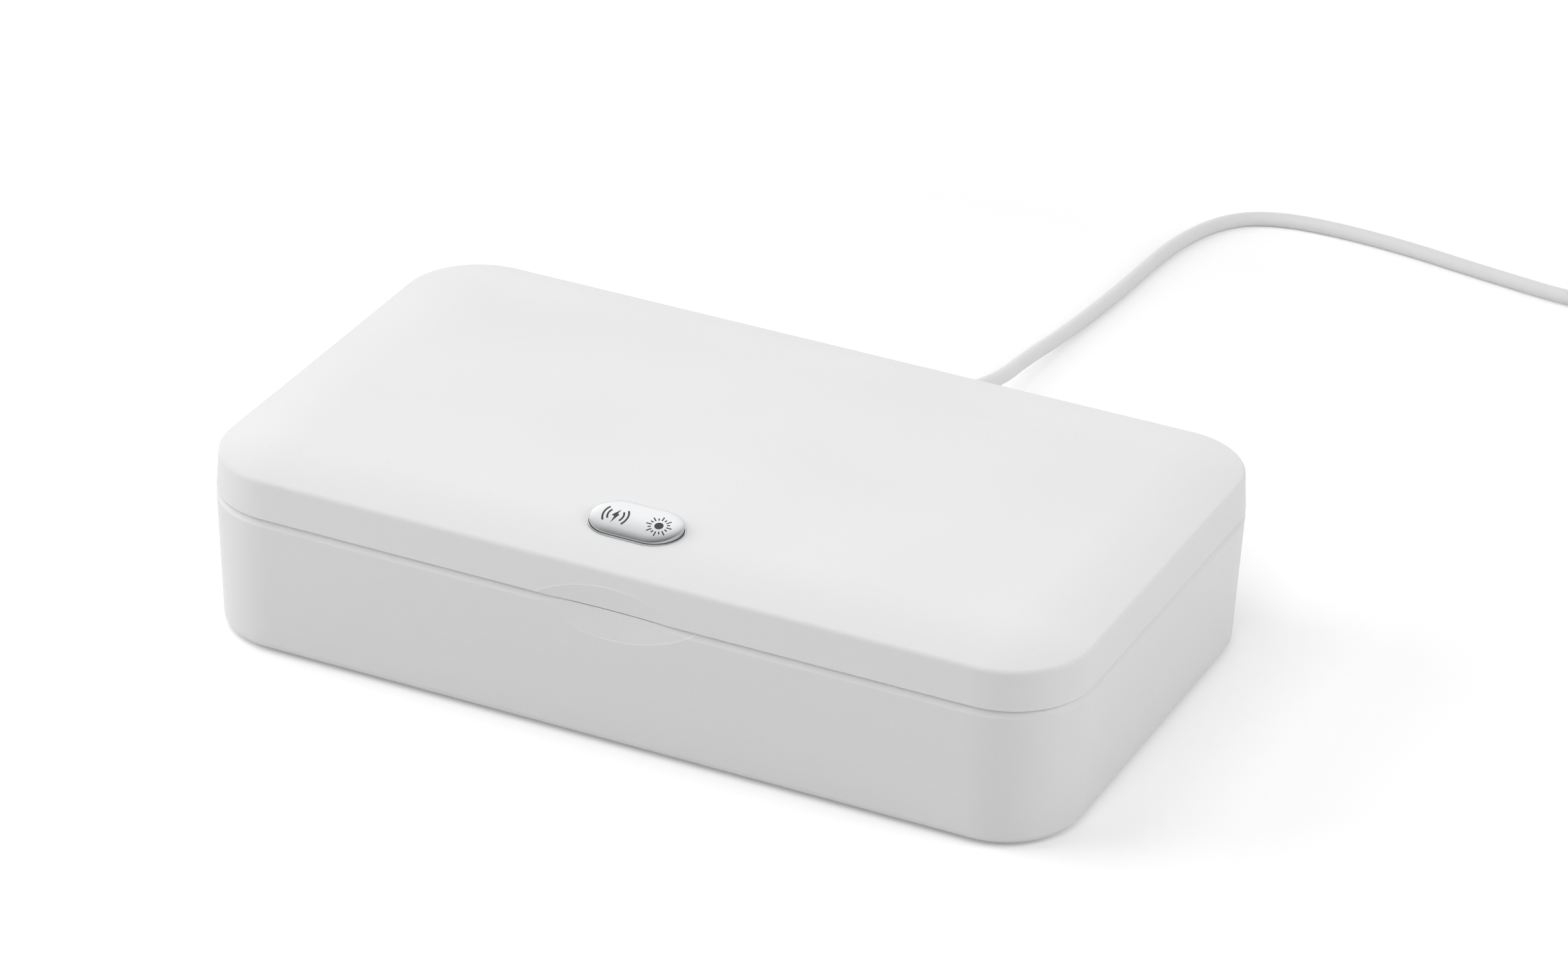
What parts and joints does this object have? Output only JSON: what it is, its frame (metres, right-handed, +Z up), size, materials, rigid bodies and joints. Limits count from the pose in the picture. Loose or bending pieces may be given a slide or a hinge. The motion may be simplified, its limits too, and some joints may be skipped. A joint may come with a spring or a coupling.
{
  "type": "uv sanitizer box for phones",
  "caption": "Hinged box with ultraviolet lamps above and below a phone chamber, a charging pad in the lid, a push key on the lid and a power lead at the rear.",
  "frame": {"origin": "under the box at the centre of its outline with the hinge barrels, on the surface that the feet stand on", "axes": "+X to the right of someone facing the front, -Y out of the front, +Z up"},
  "size_m": [0.2994, 0.4225, 0.0516],
  "materials": {
    "housing_white": "fine matt texture, moulded ABS",
    "frame_white": "smooth moulded ABS",
    "mirror_aluminium": "bright anodised sheet",
    "guard_steel": "etched stainless sheet",
    "silicone_grey": "soft silicone",
    "fastener_steel": "zinc plated",
    "magnet_nickel": "nickel plated",
    "quartz_glass": "clear quartz",
    "lamp_cap_metal": "drawn cap",
    "holder_white": "moulded, heat resistant",
    "board_green": "solder resist",
    "wire_white": "silicone insulation",
    "component_black": "moulded epoxy",
    "switch_stem_white": "moulded acetal",
    "connector_nickel": "nickel plated",
    "coil_copper": "enamelled copper wire",
    "ferrite_black": "sintered sheet",
    "key_chrome": "polished chrome plating",
    "lead_grey": "matt soft sheath",
    "tie_black": "hook and loop strap"
  },
  "bodies": {
    "base": {"base_shell": "housing_white", "rim_frame": "frame_white", "chamber_pan": "mirror_aluminium", "phone_rests": "silicone_grey", "rim_bumpers": "silicone_grey", "foot_left_front": "silicone_grey", "foot_left_rear": "silicone_grey", "foot_right_front": "silicone_grey", "foot_right_rear": "silicone_grey", "base_screws": "fastener_steel", "base_magnets": "magnet_nickel", "hinge_pin_left": "fastener_steel", "hinge_pin_right": "fastener_steel", "lower_lamp_tube": "quartz_glass", "lower_lamp_caps": "lamp_cap_metal", "lower_lamp_holders": "holder_white", "lower_reflector": "mirror_aluminium", "lower_lamp_guard": "guard_steel", "lower_lamp_leads": "wire_white", "control_board": "board_green", "board_parts": "component_black", "lamp_driver": "component_black", "usb_socket": "connector_nickel", "lid_sensor": "component_black", "plug_tongue": "connector_nickel", "plug_body": "lead_grey", "strain_relief": "lead_grey", "power_cord": "lead_grey", "cord_coil": "lead_grey", "cord_tie": "tie_black", "cord_tail": "lead_grey", "usb_body": "lead_grey", "usb_shell": "connector_nickel"},
    "lid": {"lid_shell": "housing_white", "lid_liner": "frame_white", "lid_mirror": "mirror_aluminium", "lid_screws": "fastener_steel", "lid_magnets": "magnet_nickel", "upper_lamp_tube": "quartz_glass", "upper_lamp_caps": "lamp_cap_metal", "upper_lamp_holders": "holder_white", "upper_reflector": "mirror_aluminium", "upper_lamp_guard": "guard_steel", "upper_lamp_leads": "wire_white", "charging_coil": "coil_copper", "ferrite_sheet": "ferrite_black", "charger_board": "board_green", "charger_parts": "component_black", "key_bezel": "key_chrome", "key_board": "board_green", "key_switch": "component_black"},
    "button": {"key_cap": "key_chrome", "switch_stem": "switch_stem_white"}
  },
  "joints": [
    {"name": "lid_hinge", "type": "hinge", "parent": "base", "child": "lid", "pos_m": [0, 0.0644, 0.0372], "axis": [-1, 0, 0], "range_deg": [0, 105]},
    {"name": "key_press", "type": "slide", "parent": "lid", "child": "button", "axis": [0, 0, -1], "range_m": [0, 0.0005], "stiffness_N_per_m": 400, "springref_m": -0.001}
  ]
}
